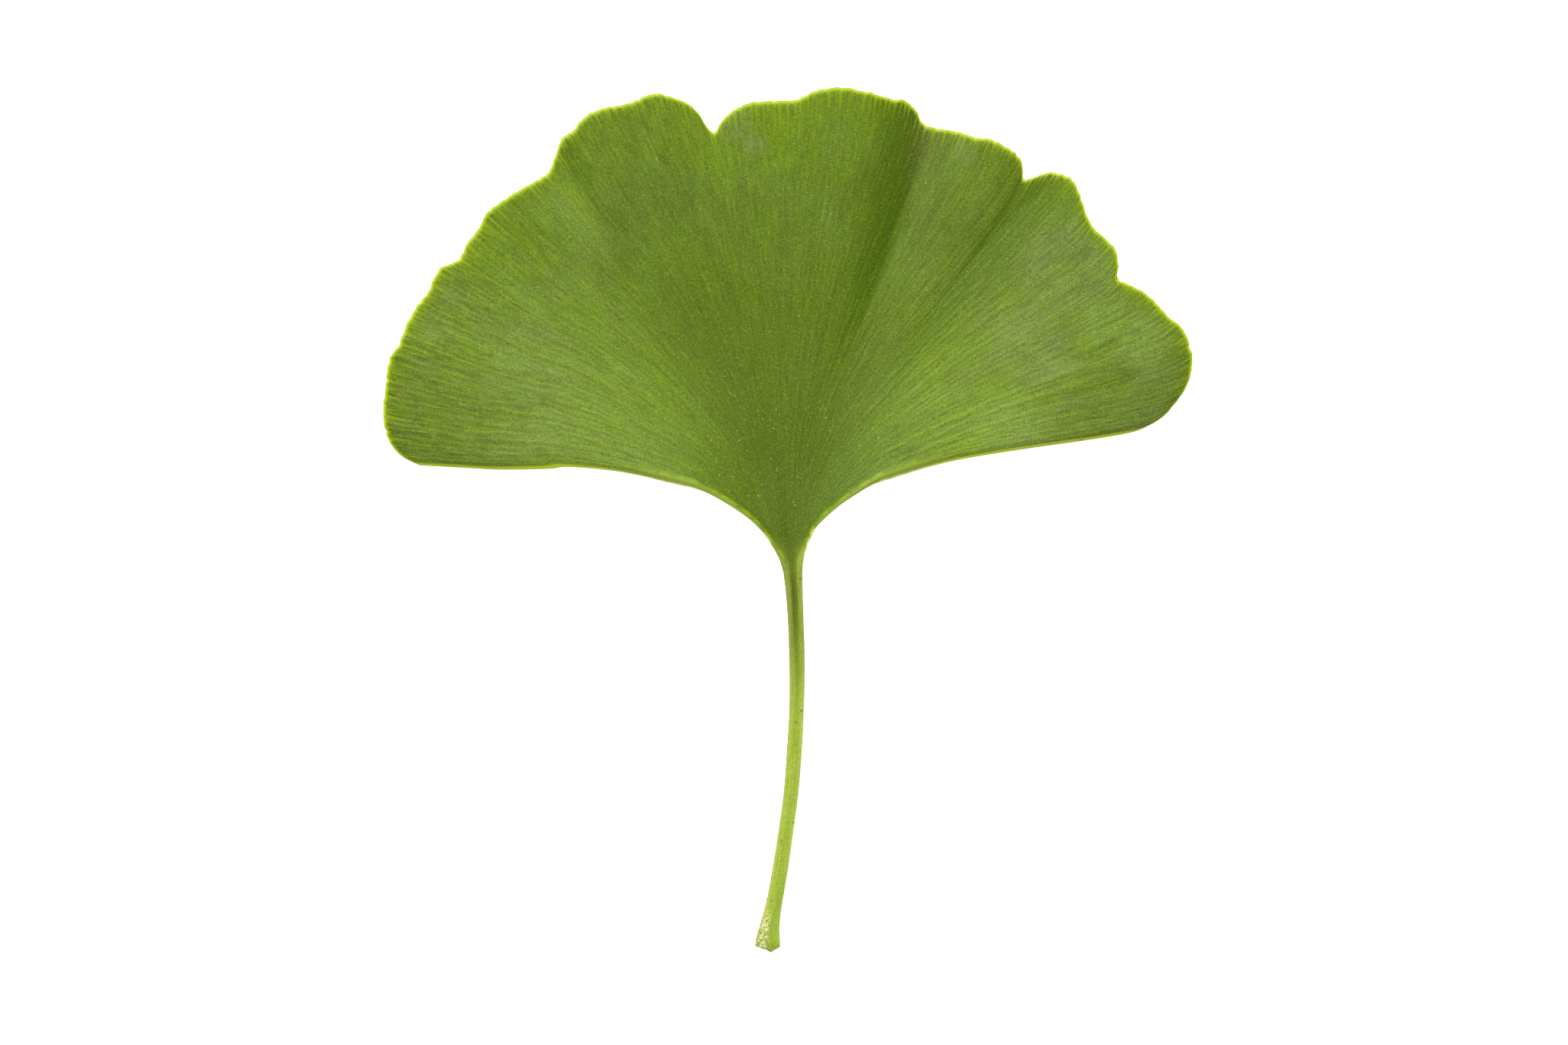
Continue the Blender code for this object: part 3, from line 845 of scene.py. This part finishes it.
def draw_veins(colour, at, zones, distance, vein):
    """Fine light veins, which fade in and out on their way, and painted shade in the hollows between them."""
    shows = smoothstep(0.42, 0.7, at.streaks(*VEIN_STREAKS))
    clear = (0.4 + 0.6 * zones.lobes) * (0.45 + 0.55 * smoothstep(0.2, 0.5, at.v)) + 0.3 * zones.left_crown
    colour = colour.towards(RAY_GREEN, vein * (0.06 + 0.36 * shows) * clear)
    hollow_shade = smoothstep(0.2, 0.36, distance) * smoothstep(0.5, 0.7, at.streaks(*HOLLOW_STREAKS))
    return colour.towards(HOLLOW_SHADE_GREEN, hollow_shade * (0.25 + 0.4 * zones.lobes) * 0.5)


def scatter_grain(colour, at, grain):
    """Grain a fifth of a millimetre wide, dark blue-grey and light, with pores and specks of wax."""
    colour = colour.scaled(0.55 + 0.9 * grain)
    colour = colour.towards(GRAIN_DARK, smoothstep(0.5, 0.3, grain) * 0.35)
    colour = colour.towards(GRAIN_LIGHT, smoothstep(0.52, 0.72, grain) * 0.22)
    colour = colour.towards(BLOOM_AND_SHEEN_GREY, smoothstep(0.62, 0.75, at.plan.noise(*PORES)) * 0.35)
    wax = smoothstep(0.68, 0.74, at.plan.noise(*WAX))
    return colour.towards(WAX_WHITE, wax * (0.5 + 0.25 * smoothstep(0.5, 0.2, at.v)))


def light_rim(colour, at):
    """The light rim of the crown, which sends short streaks inwards. The rim is partly its own yellow-green
    and partly a painted glow of light through the thin edge.
    """
    reach = 0.5 + 4.0 * smoothstep(0.45, 0.75, at.streaks(*RAY_STREAKS))
    colour = colour.towards(RAY_GREEN, smoothstep(reach, 0.3, at.from_crown) * 0.62)
    uneven = 0.25 * (at.streaks(*RIM_STREAKS) - 0.5)
    return colour.towards(RIM_GREEN, smoothstep(0.42, 0.18, at.from_crown + uneven) * 0.95)


def draw_lips(colour, at):
    """The lips along the lower margins: a broad band with painted light on its outer flank, which faces away
    from the lamp, a light streak along its inner side, and a pale outer line, partly its own colour and
    partly painted light, which turns green past the lips."""
    lips = 1 - smoothstep(*LIPS_END, at.v)
    ragged = 0.4 + 1.2 * smoothstep(0.35, 0.65, at.plan.noise(*LIP_RAGS))
    # Painted light on the outer flank of the lips.
    colour = colour.towards(LIT_LIP_OUTSIDE, smoothstep(1.15, 0.6, at.from_margin) * lips * 0.85)
    colour = colour.towards(LIP_LIGHT, (at.from_margin - 1.15).bell(0.3) * lips * ragged * 0.65)
    edge = smoothstep(0.32, 0.12, at.from_margin) * smoothstep(0.06, 0.12, at.v)
    colour = colour.towards(RIM_GREEN, edge * (1 - 0.7 * lips) * 0.8)
    # The pale outer line: partly its own colour, partly painted light.
    return colour.towards(LIP_EDGE, smoothstep(0.3, 0.1, at.from_margin) * lips * ragged * 0.75)


def paint_stalk(at, grooved):
    """Colour and relief of the stalk: striped along its length, with a grained foot, with painted light on
    its edges and its right side, and painted shade towards the neck on its upper side. Grooved is 1 for the
    upper side, whose groove deepens towards the neck, and 0 for the underside."""
    stripes = at.start.vector(at.across * 5, at.y * 0.12, 3.0).noise(1.0, 3.0, 0.6)
    fine = at.start.vector(at.across * 16, at.y * 0.5, 8.0).noise(1.0, 2.0)
    colour = at.start.colour(STALK_GREEN).towards(STALK_PALE, smoothstep(0.45, 0.75, stripes) * 0.6)
    colour = colour.towards(STALK_SHADE, smoothstep(0.5, 0.25, stripes) * 0.4)
    groove = (at.across - 0.05).bell(0.3) * smoothstep(*STALK_GROOVE, at.y) * grooved
    colour = colour.towards(NECK_GREEN, groove * 0.6)
    # Painted light: the round stalk's edges are painted paler.
    colour = colour.towards(STALK_PALE, smoothstep(0.55, 0.95, abs(at.across)) * 0.5)
    left_edge = smoothstep(-0.72, -0.95, at.across)
    colour = colour.towards(TAN, left_edge * (0.3 + 0.4 * smoothstep(0.4, 0.6, fine)))

    # The foot has a smooth facet on its right, pale grains on its left and tan beads along its left edge.
    right_facet = smoothstep(0.15, 0.35, at.across) * smoothstep(*FOOT_FACET, at.y)
    colour = colour.towards(FACET_GREEN, right_facet * 0.75)
    grains = at.plan.noise(*CALLUS_GRAINS)
    callus = smoothstep(0.15, -0.2, at.across) * smoothstep(*FOOT_CALLUS, at.y)
    colour = colour.towards(CALLUS_GAP, callus * smoothstep(0.47, 0.41, grains) * 0.85)
    colour = colour.towards(CALLUS, callus * smoothstep(0.46, 0.52, grains) * 0.95)
    beads = smoothstep(-0.6, -0.9, at.across) * smoothstep(*FOOT_BEADS, at.y) * smoothstep(0.47, 0.54, grains)
    colour = colour.towards(BEAD_TAN, beads * 0.8)

    # Painted shade towards the neck on the upper side, and painted light on the right side of the stalk.
    shadow = 0.34 * grooved * smoothstep(*STALK_SHADOW, at.y)
    lit = (1 + 0.28 * smoothstep(0.0, 0.9, at.across)) * (1 - shadow)
    colour = colour.scaled(lit * (0.35 + 0.5 * fine + 0.85 * at.plan.noise(*STALK_MOTTLE)))
    return colour, 0.05 * stripes + 0.04 * fine + 0.15 * grains * callus - 0.08 * groove


def paint_upper_face():
    """The satin upper face of the blade, its rim and lips, and the stalk."""
    material, shader, start = new_material("leaf_upper_face", specular=0.1)
    at = LeafPlace(start)
    zones = BladeZones(at)
    clouds = smoothstep(0.4, 0.66, at.plan.noise(*CLOUDS))
    bands, middling, fine = (at.streaks(*kind) - 0.5 for kind in (BANDS, MIDDLING_STREAKS, FINE_STREAKS))
    combed = 0.6 + 0.25 * zones.outer + 0.25 * zones.left_crown
    distance = vein_distance(at.column, at.v)
    vein = smoothstep(0.2, 0.03, distance) * smoothstep(0.03, 0.2, at.v)
    grain = at.plan.noise(*GRAIN)

    colour = blade_green(at, zones)
    colour = dust_with_bloom_and_sheen(colour, at, zones, clouds)
    colour = colour.scaled(1 + (0.44 + 0.12 * zones.outer) * bands + 0.36 * middling + combed * fine)
    colour = shade_folds(colour, at, zones)
    colour = paint_sheen_and_shade_by_left_shoulder(colour, at, zones)
    colour = draw_veins(colour, at, zones, distance, vein)
    colour = scatter_grain(colour, at, grain)
    colour = light_rim(colour, at)
    colour = draw_lips(colour, at)
    stalk = smoothstep(*STALK_BEGINS, at.y)
    stalk_colour, stalk_height = paint_stalk(at, grooved=1.0)
    colour = colour.towards(stalk_colour, stalk)
    colour = colour.towards(BROWN, at.near(BROWN_SPECKS) * 0.65)
    colour = colour.towards(TAN, at.near(TAN_SPECKS) * 0.6)

    roughness = 0.5 + 0.12 * clouds + 0.2 * (grain - 0.5) - 0.1 * vein
    relief = 0.01 * smoothstep(0.24, 0.0, distance) + 0.03 * grain + 0.012 * fine + 0.015 * bands
    finish_shader(shader, colour, roughness, relief * (1 - stalk) + stalk_height * stalk)
    return material


def paint_underside():
    """The paler, duller underside, where the veins stand out."""
    material, shader, start = new_material("leaf_underside", specular=0.15)
    at = LeafPlace(start)
    distance = vein_distance(at.column, at.v)
    vein = smoothstep(0.2, 0.02, distance) * smoothstep(0.02, 0.15, at.v)
    shows = smoothstep(0.35, 0.65, at.streaks(*UNDER_VEIN_STREAKS))
    grain = at.plan.noise(*UNDER_GRAIN)
    bands = at.streaks(*UNDER_BANDS)
    colour = start.colour(UNDER_GREEN).scaled(0.6 + 0.4 * grain + 0.4 * bands)
    colour = colour.towards(UNDER_VEIN, vein * (0.25 + 0.4 * shows))
    colour = colour.towards(RIM_GREEN, smoothstep(0.4, 0.15, at.from_crown) * 0.6)
    stalk = smoothstep(*STALK_BEGINS_BELOW, at.y)
    stalk_colour, stalk_height = paint_stalk(at, grooved=0.0)
    colour = colour.towards(stalk_colour, stalk)
    relief = 0.04 * vein + 0.02 * grain
    finish_shader(shader, colour, 0.7 + 0.1 * (grain - 0.5), relief * (1 - stalk) + stalk_height * stalk)
    return material


def look_down():
    camera = bpy.data.objects.new("camera", bpy.data.cameras.new("camera"))
    bpy.context.scene.collection.objects.link(camera)
    camera.data.lens = LENS
    camera.data.sensor_width = SENSOR
    camera.location = Vector((*PICTURE_MIDDLE, PICTURE_WIDTH * LENS / SENSOR)) * MM
    bpy.context.scene.camera = camera


def light_the_table():
    """A white room, and one broad lamp high beyond the crown, to the left."""
    world = bpy.data.worlds.new("studio")
    world.use_nodes = True
    background = world.node_tree.nodes["Background"]
    background.inputs["Color"].default_value = WHITE
    background.inputs["Strength"].default_value = ROOM_LIGHT
    bpy.context.scene.world = world
    lamp = bpy.data.objects.new("lamp", bpy.data.lights.new("lamp", "AREA"))
    bpy.context.scene.collection.objects.link(lamp)
    lamp.data.shape = "DISK"
    lamp.data.size = LAMP_SIZE * MM
    lamp.data.energy = LAMP_POWER
    lamp.location = Vector(LAMP_PLACE) * MM
    lamp.rotation_euler = (-lamp.location).to_track_quat("-Z", "Y").to_euler()
    bpy.context.scene.view_settings.view_transform = "Standard"


def lay_floor():
    """The white table, a hair below the leaf so that their faces don't meet."""
    deselect_all()
    bpy.ops.mesh.primitive_plane_add(size=FLOOR_SIZE * MM, location=(0.0, 0.0, -FLOOR_GAP * MM))
    floor = bpy.context.object
    floor.name = "floor"
    material, shader, _ = new_material("floor_white", specular=0.3)
    shader.inputs["Base Color"].default_value = FLOOR_WHITE
    shader.inputs["Roughness"].default_value = FLOOR_ROUGHNESS
    shader.inputs["Emission Color"].default_value = WHITE
    shader.inputs["Emission Strength"].default_value = FLOOR_GLOW
    floor.data.materials.append(material)


def main():
    leaf = leaf_sheet()
    give_thickness(leaf)
    leaf.data.materials.append(paint_upper_face())
    leaf.data.materials.append(paint_underside())
    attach(leaf, "root")
    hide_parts(NODE)
    look_down()
    light_the_table()
    lay_floor()


main()
